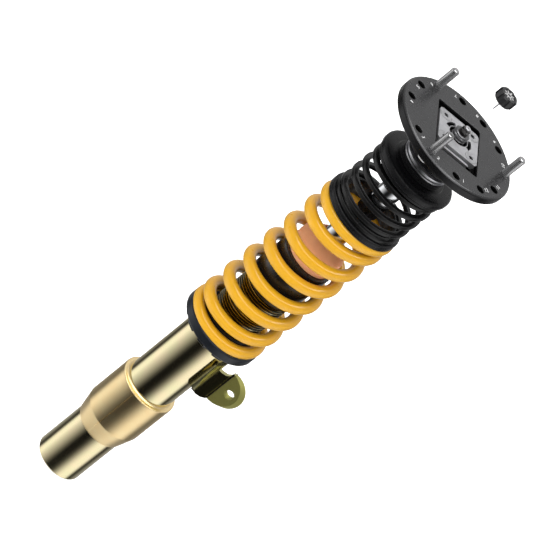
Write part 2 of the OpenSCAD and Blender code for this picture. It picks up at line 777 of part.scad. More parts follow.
module adjuster_knob() {
    dish_r = 6.4;
    color("#343537") difference() {
        translate([0, 0, knob_bottom]) turned([
            [0, 0], [knob_r - 1.6, 0], [knob_r, 1.4], [knob_r, knob_h - 1.2],
            [knob_r - 1.2, knob_h], [0, knob_h]]);
        for (i = [0:knob_scallops - 1]) rotate([0, 0, (i + 0.5) * 360 / knob_scallops])
            translate([knob_r, 0, knob_bottom - 1]) linear_extrude(knob_h + 2) round_rect(3.6, 3.4, 0.8);
        translate([0, 0, knob_bottom + knob_h - 0.8]) cylinder(r = dish_r, h = 5);
        translate([0, 0, knob_bottom - 1]) cylinder(r = key_r, h = 7, $fn = 32);
        rotate([0, 0, 180]) translate([0, 0, knob_bottom + 4]) rotate([0, 90, 0])
            cylinder(r = 1.2, h = 20, $fn = 32);
    }
}

module knob_key() {
    color("#b5b7ba") translate([0, 0, knob_bottom - key_len]) cylinder(r = key_r, h = key_len + 6, $fn = 32);
}

module knob_screw() {
    color("#8c8e90") rotate([0, 0, 180]) translate([key_r + 0.1, 0, knob_bottom + 4]) rotate([0, 90, 0])
        cylinder(r = 1.2, h = 5.5, $fn = 32);
}

strut_tube();
base_cap();
knuckle_collar();
sway_bar_bracket();
pressure_tube();
base_valve();
rod_guide();
rod_seal();
gland_nut();
wiper_ring();
spring_plate();
main_spring();
adjuster_ring();
grub_screw();
spring_adapter();
helper_spring();
bump_stop();
dust_sleeve();
upper_spring_seat();
thrust_washer_lower();
thrust_needles();
needle_cage();
thrust_washer_upper();
piston_rod();
piston();
piston_band();
piston_nut();
rebound_bumper();
distance_sleeve();
uniball();
top_nut();
uniball_liner();
bearing_housing();
uniball_race();
race_circlip();
camber_plate();
camber_screws();
top_plate();
mount_studs();
adjuster_screw();
adjuster_knob();
knob_key();
knob_screw();
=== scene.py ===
import json
import math

import bmesh
import bpy
from mathutils import Matrix, Vector


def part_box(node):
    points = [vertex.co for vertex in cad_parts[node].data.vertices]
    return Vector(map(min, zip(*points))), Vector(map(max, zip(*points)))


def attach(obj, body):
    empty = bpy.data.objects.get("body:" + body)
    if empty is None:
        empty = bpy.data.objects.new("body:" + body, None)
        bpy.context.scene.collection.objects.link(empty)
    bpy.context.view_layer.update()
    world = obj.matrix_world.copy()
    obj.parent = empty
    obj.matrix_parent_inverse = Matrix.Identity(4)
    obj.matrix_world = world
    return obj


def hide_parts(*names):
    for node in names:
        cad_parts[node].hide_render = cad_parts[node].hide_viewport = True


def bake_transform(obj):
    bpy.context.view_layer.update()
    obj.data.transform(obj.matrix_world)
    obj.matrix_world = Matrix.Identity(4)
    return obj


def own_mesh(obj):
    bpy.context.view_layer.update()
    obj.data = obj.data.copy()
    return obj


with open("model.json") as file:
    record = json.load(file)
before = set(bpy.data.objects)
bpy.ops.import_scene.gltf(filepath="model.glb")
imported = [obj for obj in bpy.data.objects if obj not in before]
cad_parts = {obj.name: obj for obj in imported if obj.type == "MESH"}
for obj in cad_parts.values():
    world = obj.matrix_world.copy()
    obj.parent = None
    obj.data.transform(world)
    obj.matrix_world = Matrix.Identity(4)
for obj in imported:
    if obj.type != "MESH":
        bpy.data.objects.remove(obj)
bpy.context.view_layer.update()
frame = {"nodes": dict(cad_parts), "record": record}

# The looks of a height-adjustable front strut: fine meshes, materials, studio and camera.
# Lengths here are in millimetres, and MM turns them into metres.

MM = 0.001
TURN = 2 * math.pi

# Sizes that the frame's boxes don't give, in millimetres
CLAMP_R = 25.5
TUBE_BORE_R = 22.5
COLLAR_NOSE_R = 26.6
COLLAR_SHOULDER_Z = 82.9
ADJUSTING_PITCH = 3.0
WIRE_R = 6.0
SPRING_R = 36.0
ACTIVE_PITCH, ACTIVE_TURNS = 27.2, 5
LOWER_TIP_PITCH, UPPER_TIP_PITCH = 9.8, 9.8
GROUND_TIP = 0.42               # turns of the main spring beyond each seating turn
LOWER_TIP_RISE = 2.5            # the ground lower tip's centre above its seat
UPPER_TIP_OVERLAP = 0.42        # how far the ground upper tip sinks into the ring above it
HELPER_WIRE = (6.0, 4.5)
HELPER_PITCH = 13.6
HELPER_ENDS = (-168, 1596)      # degrees from the first active coil
HELPER_SPLIT = 810
STUD_ANGLES = (25, 145, 265)
STUD_CIRCLE_R = 56.0
SEAM_ANGLE = -94.5
SHARP_EDGE = 32                 # degrees beyond which a machined edge is rounded
NUMBER_SIZE = 5.6
NUMBER_RAISE = 0.06

# Where painted shade, painted light and other colour changes fall within one piece, in millimetres
THREAD_SHADE_R = (25.0, 25.85, 25.97)  # painted shade in the tube's thread grooves, up to the middle radius
THREAD_SHADE_Z = (250.0, 253.0)
DARK_ROD_Z = 500.0
WINDOW_SHADE_Z = (543.0, 544.6)
KIDNEY_SHADE_Z = (543.5, 545.3)
KIDNEY_SHADE_R = (16.5, 17.0)
SOCKET_SHADE_Z = (544.6, 545.4)
EAR_X = (42.6, 43.4)

# The camera, in degrees and metres; the lens in millimetres
CAMERA_TILT = 30.5
CAMERA_ROLL = 38.8
CAMERA_TARGET_Z = 0.315
CAMERA_DISTANCE = 2.7205
SENSOR_WIDTH = 36
LENS = 3000 / 560 * 36


def span(node):
    """Outer radius, lowest and highest point of a round CAD node, in millimetres."""
    low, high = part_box(node)
    return high.x / MM, low.z / MM, high.z / MM


# ---- meshes ----

def mesh_object(name, points, faces, sharp=35):
    """A smooth-shaded object from points in millimetres, with its doubled points merged."""
    bm = bmesh.new()
    verts = [bm.verts.new(Vector(p) * MM) for p in points]
    for face in faces:
        bm.faces.new([verts[i] for i in face])
    bmesh.ops.remove_doubles(bm, verts=bm.verts, dist=0.002 * MM)
    bmesh.ops.dissolve_degenerate(bm, edges=bm.edges, dist=0.001 * MM)
    bmesh.ops.recalc_face_normals(bm, faces=bm.faces)
    mesh = bpy.data.meshes.new(name)
    bm.to_mesh(mesh)
    bm.free()
    return shown(name, mesh, sharp)


def shown(name, mesh, sharp=35):
    """An object for a finished mesh, smooth apart from its sharp edges."""
    mesh.shade_smooth()
    mesh.set_sharp_from_angle(angle=math.radians(sharp))
    obj = bpy.data.objects.new(name, mesh)
    bpy.context.scene.collection.objects.link(obj)
    return obj


def filleted(corners, steps=5):
    """An outline in the (radius, height) plane from (radius, height, fillet) corners."""
    outline = []
    for i, (r, z, fillet) in enumerate(corners):
        here = Vector((r, z))
        back = Vector(corners[i - 1][:2]) - here
        ahead = Vector(corners[(i + 1) % len(corners)][:2]) - here
        if not fillet:
            outline.append(here)
            continue
        half = back.angle(ahead) / 2
        cut = min(fillet / math.tan(half), 0.49 * back.length, 0.49 * ahead.length)
        reach = cut / math.cos(half)
        centre = here + (back.normalized() + ahead.normalized()).normalized() * reach
        first = here + back.normalized() * cut - centre
        last = here + ahead.normalized() * cut - centre
        outline += [centre + first.slerp(last, s / steps) * first.length for s in range(steps + 1)]
    return outline


def revolve(name, rows, columns=160, centre=(0, 0), closed=True, sharp=35):
    """A surface of revolution. A row is a point (radius, height) or a function of the turn's share."""
    if isinstance(columns, int):
        columns = [i / columns for i in range(columns + 1)]
    points = []
    for share in columns:
        c, s = math.cos(TURN * share), math.sin(TURN * share)
        for row in rows:
            r, z = row(share) if callable(row) else row
            points.append((centre[0] + r * c, centre[1] + r * s, z))
    n = len(rows)
    last = n if closed else n - 1
    faces = [(i * n + j, (i + 1) * n + j, (i + 1) * n + (j + 1) % n, i * n + (j + 1) % n)
             for i in range(len(columns) - 1) for j in range(last)]
    return mesh_object(name, points, faces, sharp)


def thread_rows(r, depth, pitch, z0, z1, form=(0, 0, 0.5, 1, 1, 1, 1, 0.5)):
    """Rows of a helical thread between two heights, fading out at both ends."""
    rise = pitch / len(form)

    def row(j):
        def at(share):
            z = min(z1, max(z0, z0 - pitch + j * rise + pitch * share))
            fade = min(1, (z - z0) / pitch, (z1 - z) / pitch)
            return r - depth * form[j % len(form)] * fade, z
        return at
    return [row(j) for j in range(math.ceil((z1 - z0 + pitch) / rise) + 1)]


def sweep(name, rings, sharp=35):
    """A closed solid through rings that have the same number of points."""
    n = len(rings[0])
    points = [p for ring in rings for p in ring]
    faces = [(i * n + j, (i + 1) * n + j, (i + 1) * n + (j + 1) % n, i * n + (j + 1) % n)
             for i in range(len(rings) - 1) for j in range(n)]
    faces += [tuple(range(n)), tuple(range((len(rings) - 1) * n, len(rings) * n))]
    return mesh_object(name, points, faces, sharp)


def bevelled_copy(node, width, segments):
    """A copy of a CAD node with its sharp edges rounded, which replaces the node."""
    bm = bmesh.new()
    bm.from_mesh(frame["nodes"][node].data)
    bmesh.ops.remove_doubles(bm, verts=bm.verts, dist=0.004 * MM)
    bmesh.ops.dissolve_limit(bm, angle_limit=math.radians(1.0), verts=bm.verts, edges=bm.edges)
    bmesh.ops.recalc_face_normals(bm, faces=bm.faces)
    sharp_edges = [e for e in bm.edges if len(e.link_faces) == 2
                   and e.calc_face_angle(0) > math.radians(SHARP_EDGE)]
    bmesh.ops.bevel(bm, geom=sharp_edges, offset=width * MM, offset_type="OFFSET", segments=segments,
                    profile=0.5, affect="EDGES", clamp_overlap=True, harden_normals=False)
    bmesh.ops.dissolve_degenerate(bm, edges=bm.edges, dist=0.002 * MM)
    mesh = bpy.data.meshes.new(node + "_fine")
    bm.to_mesh(mesh)
    bm.free()
    obj = shown(node + "_fine", mesh, 40)
    # normals weighted by area keep the flat faces flat right up to their rounded edges
    weights = obj.modifiers.new("weights", "WEIGHTED_NORMAL")
    weights.keep_sharp = True
    weights.weight = 100
    bpy.context.view_layer.update()
    obj.data = bpy.data.meshes.new_from_object(obj.evaluated_get(bpy.context.evaluated_depsgraph_get()))
    obj.modifiers.clear()
    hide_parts(node)
    return obj


# ---- materials ----

class Finish:
    """A material made of a Principled shader, with short ways to add its patterns."""

    def __init__(self, name, colour, **sockets):
        self.material = bpy.data.materials.new(name)
        self.material.use_nodes = True
        self.tree = self.material.node_tree
        self.shader = self.tree.nodes["Principled BSDF"]
        self.shader.inputs["Base Color"].default_value = (*colour, 1)
        for socket, value in sockets.items():
            title = socket.replace("_", " ").title().replace("Ior", "IOR")
            self.shader.inputs[title].default_value = value
        self.place = self.tree.nodes.new("ShaderNodeTexCoord").outputs["Object"]

    def link(self, output, socket):
        self.tree.links.new(output, self.shader.inputs[socket])

    def node(self, kind, inputs=(), **settings):
        made = self.tree.nodes.new("ShaderNode" + kind)
        for key, value in settings.items():
            setattr(made, key, value)
        for key, value in dict(inputs).items():
            if isinstance(value, bpy.types.NodeSocket):
                self.tree.links.new(value, made.inputs[key])
            else:
                made.inputs[key].default_value = value
        return made

    def noise(self, size, detail=4, stretch=(1, 1, 1), roughness=0.55):
        """Noise whose features are about size millimetres across, drawn out by stretch."""
        place = self.place
        if stretch != (1, 1, 1):
            scale = [1 / s for s in stretch]
            place = self.node("Mapping", {"Vector": self.place, "Scale": scale}).outputs[0]
        return self.node("TexNoise", {"Vector": place, "Scale": 1 / (size * MM), "Detail": detail,
                                      "Roughness": roughness}).outputs[0]

    def cells(self, size):
        return self.node("TexVoronoi", {"Vector": self.place, "Scale": 1 / (size * MM)}).outputs[0]

    def maths(self, operation, a, b=0.5, clamp=False):
        return self.node("Math", {0: a, 1: b}, operation=operation, use_clamp=clamp).outputs[0]

    def ramp(self, factor, stops):
        """Stops are (position, value), where a value is a grey or a colour."""
        ramp = self.node("ValToRGB", {"Fac": factor})
        elements = ramp.color_ramp.elements
        while len(elements) < len(stops):
            elements.new(0.5)
        for element, (position, value) in zip(elements, stops):
            element.position = position
            element.color = (*value, 1) if isinstance(value, tuple) else (value, value, value, 1)
        return ramp.outputs["Color"]

    def mix(self, factor, a, b, mode="MIX"):
        mixed = self.node("Mix", data_type="RGBA", blend_type=mode)
        for key, value in ((0, factor), (6, a), (7, b)):
            if isinstance(value, bpy.types.NodeSocket):
                self.tree.links.new(value, mixed.inputs[key])
            else:
                mixed.inputs[key].default_value = (*value, 1) if isinstance(value, tuple) else value
        return mixed.outputs[2]

    def edges(self, reach):
        """1 along sharp edges and 0 on flat faces, from how far a rounded normal turns away."""
        rounded = self.node("Bevel", {"Radius": reach * MM}, samples=4).outputs[0]
        true = self.node("NewGeometry").outputs["Normal"]
        dot = self.node("VectorMath", {0: rounded, 1: true}, operation="DOT_PRODUCT").outputs["Value"]
        return self.maths("MULTIPLY", self.maths("SUBTRACT", 1.0, dot), 6.0, clamp=True)

    def along(self, axis, stops):
        """A ramp along X, Y or Z, or away from the Z axis with "R". Stops are (millimetres, value)."""
        xyz = self.node("SeparateXYZ", {"Vector": self.place}).outputs
        if axis == "R":
            flat = self.node("CombineXYZ", {"X": xyz["X"], "Y": xyz["Y"]}).outputs[0]
            place = self.node("VectorMath", {0: flat}, operation="LENGTH").outputs["Value"]
        else:
            place = xyz[axis]
        low, high = stops[0][0], stops[-1][0]
        share = self.node("MapRange", {"Value": place, "From Min": low * MM,
                                       "From Max": high * MM}).outputs[0]
        return self.ramp(share, [((at - low) / (high - low), value) for at, value in stops])

    def tint(self, factor, colour):
        """Mixes a colour over the base colour where factor is 1."""
        base = self.shader.inputs["Base Color"]
        self.link(self.mix(factor, base.links[0].from_socket, colour), "Base Color")

    def bump(self, height, depth):
        """Raises the surface by depth millimetres where height is 1."""
        made = self.node("Bump", {"Height": height, "Strength": 1.0, "Distance": depth * MM})
        self.link(made.outputs[0], "Normal")


def metal(name, light, dark, rough, patch=14, streak=0.5, turned_marks=0.004, **sockets):
    """A plated metal: cloudy colour, uneven gloss and faint marks of turning round the axis."""
    finish = Finish(name, light, metallic=1.0, **sockets)
    cloud = finish.noise(patch, 5)
    fine = finish.noise(streak, 3, (30, 30, 1))
    finish.link(finish.mix(finish.ramp(cloud, [(0.35, 0.0), (0.68, 1.0)]), light, dark), "Base Color")
    uneven = finish.maths("MULTIPLY_ADD", finish.noise(patch / 3, 4), 0.5)
    gloss = finish.maths("ADD", uneven, finish.maths("MULTIPLY", fine, 0.3))
    finish.link(finish.ramp(gloss, [(0.25, rough[0]), (0.85, rough[1])]), "Roughness")
    if turned_marks:
        finish.bump(fine, turned_marks)
    return finish


def coating(name, colour, wear_and_highlight_colour, rough, peel=1.2, peel_depth=0.01, wear_and_highlight=0.4, dust=0.5, **sockets):
    """A paint, powder coat or anodised layer, with fine texture, dull patches and lighter edges that are
    partly wear and partly painted highlight.
    """
    finish = Finish(name, colour, **sockets)
    patches = finish.noise(9, 5)
    dull = tuple(c * (1 - 0.25 * dust) for c in colour)
    shade = finish.mix(finish.ramp(patches, [(0.3, 0.0), (0.75, 1.0)]), colour, dull)
    # lighter sharp edges, broken up by noise: partly wear, partly a painted highlight
    if wear_and_highlight:
        breaks = finish.ramp(finish.noise(0.9, 4), [(0.42, 0.0), (0.62, 1.0)])
        wear_and_highlight_edge = finish.maths("MULTIPLY", finish.maths("MULTIPLY", finish.edges(0.35), breaks), wear_and_highlight)
        shade = finish.mix(wear_and_highlight_edge, shade, wear_and_highlight_colour)
    finish.link(shade, "Base Color")
    smudges = finish.noise(5, 6, roughness=0.65)
    finish.link(finish.ramp(smudges, [(0.3, rough[0]), (0.75, rough[1])]), "Roughness")
    finish.bump(finish.noise(peel, 2), peel_depth)
    return finish


def make_finishes():
    """Every material, by the name of the record's slot that it belongs to."""
    made = {
        "gold_passivated": metal("gold_passivated", (0.96, 0.82, 0.52), (0.90, 0.83, 0.50), (0.07, 0.13)),
        "collar_gold": metal("collar_gold", (1.0, 0.80, 0.44), (1.0, 0.76, 0.40), (0.20, 0.30),
                             patch=9, turned_marks=0.008),
        "bracket_gold": metal("bracket_gold", (0.80, 0.74, 0.38), (0.66, 0.62, 0.30), (0.14, 0.30),
                              patch=8, turned_marks=0),
        "bright_steel": metal("bright_steel", (0.78, 0.78, 0.80), (0.66, 0.66, 0.69), (0.16, 0.30)),
        "chrome_rod": metal("chrome_rod", (0.86, 0.87, 0.89), (0.80, 0.81, 0.83), (0.04, 0.09),
                            turned_marks=0.001),
        "dark_steel": metal("dark_steel", (0.22, 0.22, 0.225), (0.14, 0.14, 0.145), (0.14, 0.26), patch=5),
        "sintered_steel": metal("sintered_steel", (0.30, 0.29, 0.28), (0.20, 0.20, 0.19), (0.4, 0.6)),
        "zinc_stud": metal("zinc_stud", (0.66, 0.66, 0.66), (0.58, 0.58, 0.59), (0.08, 0.15), patch=4,
                           turned_marks=0.002),
        "camber_screw": metal("camber_screw", (0.48, 0.48, 0.49), (0.41, 0.41, 0.42), (0.34, 0.46), patch=4,
                              turned_marks=0.002),
        "piston_rod": metal("piston_rod", (0.86, 0.87, 0.89), (0.80, 0.81, 0.83), (0.04, 0.09),
                            turned_marks=0.001),
        "camber_silver": metal("camber_silver", (0.50, 0.50, 0.51), (0.43, 0.43, 0.445), (0.44, 0.58),
                               patch=6, turned_marks=0),
        "perch_anodised": coating("perch_anodised", (0.008, 0.010, 0.014), (0.20, 0.21, 0.23), (0.28, 0.40),
                                  peel=0.4, peel_depth=0.003, specular_ior_level=0.4, metallic=0.2,
                                  coat_weight=0.1, coat_roughness=0.2),
        "spring_yellow": coating("spring_yellow", (0.54, 0.280, 0.010), (0.75, 0.36, 0.03), (0.26, 0.36),
                                 peel=1.6, peel_depth=0.006, wear_and_highlight=0.0, dust=0.2,
                                 specular_ior_level=0.2, coat_weight=0.7, coat_roughness=0.05),
        "spring_black": coating("spring_black", (0.004, 0.004, 0.004), (0.10, 0.10, 0.10), (0.20, 0.30),
                                peel=1.4, peel_depth=0.008, specular_ior_level=0.2, coat_weight=0.25,
                                coat_roughness=0.10),
        "mount_black": coating("mount_black", (0.004, 0.004, 0.0045), (0.16, 0.16, 0.17), (0.24, 0.34),
                               peel=0.5, peel_depth=0.003, specular_ior_level=0.2, coat_weight=0.1,
                               coat_roughness=0.10),
        "plate_anodised": coating("plate_anodised", (0.092, 0.092, 0.094), (0.36, 0.36, 0.37), (0.22, 0.30),
                                  peel=0.35, peel_depth=0.002, metallic=0.9),
        "sleeve_black": coating("sleeve_black", (0.006, 0.006, 0.0065), (0.05, 0.05, 0.05), (0.22, 0.36),
                                peel=2.5, peel_depth=0.01, coat_weight=0.5, coat_roughness=0.15),
        "seal_rubber": coating("seal_rubber", (0.012, 0.012, 0.012), (0.04, 0.04, 0.04), (0.5, 0.7)),
        "ptfe_liner": coating("ptfe_liner", (0.50, 0.46, 0.38), (0.6, 0.56, 0.5), (0.4, 0.55)),
        "knob_black": coating("knob_black", (0.020, 0.020, 0.021), (0.22, 0.22, 0.22), (0.30, 0.44),
                              peel=0.3, peel_depth=0.006, metallic=0.3),
        "knob_mark": coating("knob_mark", (0.50, 0.50, 0.50), (0.5, 0.5, 0.5), (0.3, 0.4), wear_and_highlight=0.0),
        "plate_ink": coating("plate_ink", (0.72, 0.72, 0.72), (0.6, 0.6, 0.6), (0.5, 0.6), wear_and_highlight=0.0),
    }
    foam = Finish("bump_foam", (0.80, 0.40, 0.21), subsurface_weight=0.15, subsurface_scale=0.002)
    pores = foam.cells(0.5)
    tone = foam.mix(foam.noise(6, 5), (0.84, 0.42, 0.22), (0.72, 0.35, 0.18))
    # the pores are darker: painted shade inside them
    foam.link(foam.mix(foam.ramp(pores, [(0.05, 1.0), (0.28, 0.0)]), tone, (0.56, 0.26, 0.13)), "Base Color")
    foam.link(foam.ramp(foam.noise(2, 4), [(0.3, 0.62), (0.8, 0.85)]), "Roughness")
    foam.bump(foam.maths("ADD", pores, foam.noise(3, 4)), 0.05)
    made["bump_foam"] = foam
    blast = made["camber_silver"]
    blast.bump(blast.noise(0.28, 3), 0.02)

    # painted shade in the thread's grooves, a little uneven
    tube = made["gold_passivated"]
    thread_shade = tube.maths("MULTIPLY", tube.along("R", list(zip(THREAD_SHADE_R, (1.0, 1.0, 0.0)))),
                        tube.along("Z", list(zip(THREAD_SHADE_Z, (0.0, 1.0)))))
    tube.tint(tube.maths("MULTIPLY", thread_shade, tube.ramp(tube.noise(3), [(0.2, 0.9), (0.8, 1.0)])),
              (0.030, 0.024, 0.014))
    # painted shade in the recesses and sockets: the camber plate's kidney slots, the top plate's window
    # ledge and the screws' star sockets
    silver = made["camber_silver"]
    silver.tint(silver.maths("MULTIPLY", silver.along("Z", list(zip(KIDNEY_SHADE_Z, (1.0, 0.0)))),
                             silver.along("R", list(zip(KIDNEY_SHADE_R, (1.0, 0.0))))), (0.02, 0.02, 0.02))
    plate = made["plate_anodised"]
    # painted shade on the window's ledge, below the plate's face
    plate.tint(plate.along("Z", list(zip(WINDOW_SHADE_Z, (1.0, 0.0)))), (0.012, 0.012, 0.012))
    rim_r = span("top_plate")[0]
    # painted shade along the top plate's outer rim
    plate.tint(plate.along("R", [(rim_r - 0.9, 0.0), (rim_r - 0.3, 1.0)]), (0.030, 0.030, 0.031))
    screws = made["camber_screw"]
    # painted shade in the screws' star sockets
    screws.tint(screws.along("Z", list(zip(SOCKET_SHADE_Z, (1.0, 0.0)))), (0.008, 0.008, 0.008))
    # the rod is darker above DARK_ROD_Z
    rod = made["piston_rod"]
    rod.tint(rod.along("Z", [(DARK_ROD_Z, 0.0), (DARK_ROD_Z + 0.5, 1.0)]), (0.16, 0.155, 0.15))
    # the bracket's web is smooth and its ear is duller; the ear's olive tint is painted light and shade, so
    # that it looks lit differently from the web
    bracket = made["bracket_gold"]
    bracket.tint(bracket.along("X", list(zip(EAR_X, (0.0, 1.0)))), (0.50, 0.48, 0.15))
    bracket.link(bracket.mix(bracket.along("X", list(zip(EAR_X, (0.0, 1.0)))),
                             bracket.ramp(bracket.noise(3), [(0.3, 0.10), (0.8, 0.2)]),
                             bracket.ramp(bracket.noise(2), [(0.3, 0.50), (0.8, 0.62)])), "Roughness")
    return {slot: finish.material for slot, finish in made.items()}


finishes = make_finishes()
node_slots = {row["node"]: row["material_slot"] for row in frame["record"]["subparts"]}
node_finishes = {**node_slots, "camber_screws": "camber_screw", "piston_rod": "piston_rod"}


def wear_slot(obj, slot, finish=None):
    """Gives a piece the material of its record slot, or a finish of its own in its place."""
    obj.data.materials.clear()
    obj.data.materials.append(finishes[finish or slot])


def finish_piece(obj, body, node):
    """The usual last steps for a piece: its material, its body and the CAD node that it stands for."""
    wear_slot(obj, node_slots[node])
    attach(obj, body)
    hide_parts(node)


# ---- strut housing ----

def make_strut_tube():
    r, z0, z1 = span("strut_tube")
    step_z = span("knuckle_collar")[1]
    thread_z0 = span("adjuster_ring")[2] - 10
    corner = filleted([(TUBE_BORE_R, z0, 0), (CLAMP_R, z0, 2.9), (CLAMP_R, step_z, 0)], 8)
    rows = corner + [(r, step_z), *thread_rows(r, 0.9, ADJUSTING_PITCH, thread_z0, z1 - 2.5),
                     (r, z1 - 1.2), (r - 0.8, z1), (TUBE_BORE_R, z1)]
    finish_piece(revolve("strut_tube_fine", rows, 144, sharp=50), "housing", "strut_tube")


def make_collar():
    r, z0, z1 = span("knuckle_collar")
    tube_r = span("strut_tube")[0]
    top = z1 - 1.2
    seam = (SEAM_ANGLE % 360) / 360
    half = 0.45 / (TURN * r)

    def grooved(point, depth):
        def at(share):
            away = abs(share - seam) / half
            return point[0] - depth * max(0.0, 1 - away) ** 0.5, point[1]
        return at

    outline = filleted([(tube_r, z0, 0), (COLLAR_NOSE_R, z0, 0.5), (r, COLLAR_SHOULDER_Z, 5),
                        (r, top, 1.0), (tube_r + 1.2, top, 1.0), (tube_r, z1, 0)])
    rows = [grooved(p, 0.5) if r - 0.2 < p[0] else p for p in outline]
    near = [seam + half * k / 4 for k in range(-5, 6)]
    columns = sorted([i / 180 for i in range(181) if abs(i / 180 - seam) > 1.4 * half] + near)
    finish_piece(revolve("knuckle_collar_fine", rows, columns), "housing", "knuckle_collar")

    bead_r, ripple, ripples, sides = 0.95, 0.06, 140, 12

    def bead_row(k):
        def at(share):
            swell = bead_r + ripple * math.sin(ripples * TURN * share)
            return (tube_r - 0.5 + swell * math.cos(k * TURN / sides),
                    z0 - 0.35 + bead_r * math.sin(k * TURN / sides))
        return at

    bead = revolve("collar_weld_bead", [bead_row(k) for k in range(sides)], 420)
    wear_slot(bead, "collar_gold")
    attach(bead, "housing")


# ---- springs ----

def main_height(turn, tip_z):
    """Height of the main spring's wire centre after a number of turns from its lower tip."""
    last = 1 + ACTIVE_TURNS
    z1 = tip_z + (LOWER_TIP_PITCH + ACTIVE_PITCH) / 2
    if turn < 1:
        return tip_z + LOWER_TIP_PITCH * turn + (ACTIVE_PITCH - LOWER_TIP_PITCH) / 2 * turn * turn
    if turn < last:
        return z1 + ACTIVE_PITCH * (turn - 1)
    over = turn - last
    z2 = z1 + ACTIVE_TURNS * ACTIVE_PITCH
    return z2 + ACTIVE_PITCH * over + (UPPER_TIP_PITCH - ACTIVE_PITCH) / 2 * over ** 2


def make_main_spring():
    floor_z = span("spring_plate")[2]
    top_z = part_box("main_spring")[1].z / MM + UPPER_TIP_OVERLAP
    sides, steps = 28, 110
    rings = []
    for i in range(round((2 + 2 * GROUND_TIP + ACTIVE_TURNS) * steps) + 1):
        turn = i / steps - GROUND_TIP
        angle = TURN * turn - math.pi / 2
        centre_z = main_height(turn, floor_z + LOWER_TIP_RISE)
        ring = []
        for j in range(sides):
            b = TURN * (j + 0.5) / sides
            r = SPRING_R + WIRE_R * math.cos(b)
            z = min(top_z, max(floor_z, centre_z + WIRE_R * math.sin(b)))
            ring.append((r * math.cos(angle), r * math.sin(angle), z))
        rings.append(ring)
    spring = sweep("main_spring_fine", rings, 50)
    wear_slot(spring, "spring_yellow")
    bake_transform(spring)
    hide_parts("main_spring")


def helper_height(angle, low, high):
    """Height of the helper spring's wire centre at an angle in degrees from its first active coil."""
    half_turn = low + HELPER_WIRE[1]
    if angle < 0:
        return low
    if angle < 180:
        return low + HELPER_WIRE[1] * angle / 180
    return min(high, half_turn + HELPER_PITCH / 360 * (angle - 180))


def helper_part(name, first, last, low, high, r_mean):
    """One stretch of the flat-wire helper spring, between two angles."""
    w, h = HELPER_WIRE[0] / 2, HELPER_WIRE[1] / 2
    outline = [(p.x, p.y) for p in filleted([(-w, -h, 1.1), (w, -h, 1.1), (w, h, 1.1), (-w, h, 1.1)], 3)]
    rings = []
    for k in range(math.ceil((last - first) / 4) + 1):
        angle = min(last, first + 4 * k)
        z = helper_height(angle, low, high)
        c, s = math.cos(math.radians(angle)), math.sin(math.radians(angle))
        rings.append([((r_mean + x) * c, (r_mean + x) * s, z + y) for x, y in outline])
    return sweep(name, rings, 50)


def make_helper_spring():
    low_z, high_z = (corner.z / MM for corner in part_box("helper_spring"))
    r_mean = span("helper_spring")[0] - HELPER_WIRE[0] / 2
    low, high = low_z + HELPER_WIRE[1] / 2, high_z - HELPER_WIRE[1] / 2
    lower = helper_part("helper_spring_lower", HELPER_ENDS[0], HELPER_SPLIT, low, high, r_mean)
    upper = helper_part("helper_spring_upper", HELPER_SPLIT, HELPER_ENDS[1], low, high, r_mean)
    finish_piece(lower, "adapter", "helper_spring")
    finish_piece(upper, "seat", "helper_spring")
    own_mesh(lower)
    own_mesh(upper)


# ---- turned parts round the axis ----

def make_spring_plate():
    r, z0, z1 = span("spring_plate")
    hub = 29.5
    outline = filleted([(hub, z0, 0), (r - 0.6, z0, 1.0), (r, z0 + 1.6, 0.8), (r, z1 - 1.6, 1.0),
                        (r - 1.4, z1, 0.8), (hub, z1, 0)])
    finish_piece(revolve("spring_plate_fine", outline), "perch", "spring_plate")


def make_adapter():
    r, z0, z1 = span("spring_adapter")
    bore = 28.4
    shelf = z1 - 5.5
    pilot = 32.0
    outline = filleted([(bore, z0, 0.2), (bore + 1, z0, 0.2), (bore + 1, z0 + 6, 0), (r, z0 + 6, 1.0),
                        (r, z0 + 8.6, 0.3), (r - 0.5, z0 + 8.9, 0.2), (r - 0.5, z0 + 9.3, 0.2),
                        (r, z0 + 9.6, 0.3),
                        (r, shelf, 2.0), (pilot, shelf, 0), (pilot, shelf + 4, 1.2), (pilot - 1.5, z1, 0.8),
                        (bore, z1, 0.4)])
    finish_piece(revolve("spring_adapter_fine", outline), "adapter", "spring_adapter")


def make_bump_stop():
    r, z0, z1 = span("bump_stop")
    bore = 11.3
    outline = filleted([(bore, z0, 0), (r, z0, 1.2), (r, z0 + 7.2, 1.6), (r - 2.6, z0 + 9.2, 1.4),
                        (r, z0 + 11.2, 1.6), (r, z0 + 18.6, 3.0), (14.6, z1 - 2, 2.0), (13.0, z1, 0.9),
                        (bore, z1, 0.5)], 6)
    bumper = revolve("bump_stop_fine", outline, 140)
    finish_piece(bumper, "bumper", "bump_stop")


def make_dust_sleeve():
    r, z0, z1 = span("dust_sleeve")
    wall = 1.3
    outline = filleted([(r - wall, z0, 0.3), (r, z0, 0.5), (r, z0 + 4, 0.3), (r - 0.35, z0 + 4.4, 0.3),
                        (r - 0.35, z0 + 5.4, 0.3), (r, z0 + 5.8, 0.3), (r, z1, 1.6), (11.3, z1, 0.3),
                        (11.3, z1 - 2, 0), (r - wall, z1 - 2, 1.0)])
    finish_piece(revolve("dust_sleeve_fine", outline), "bumper", "dust_sleeve")


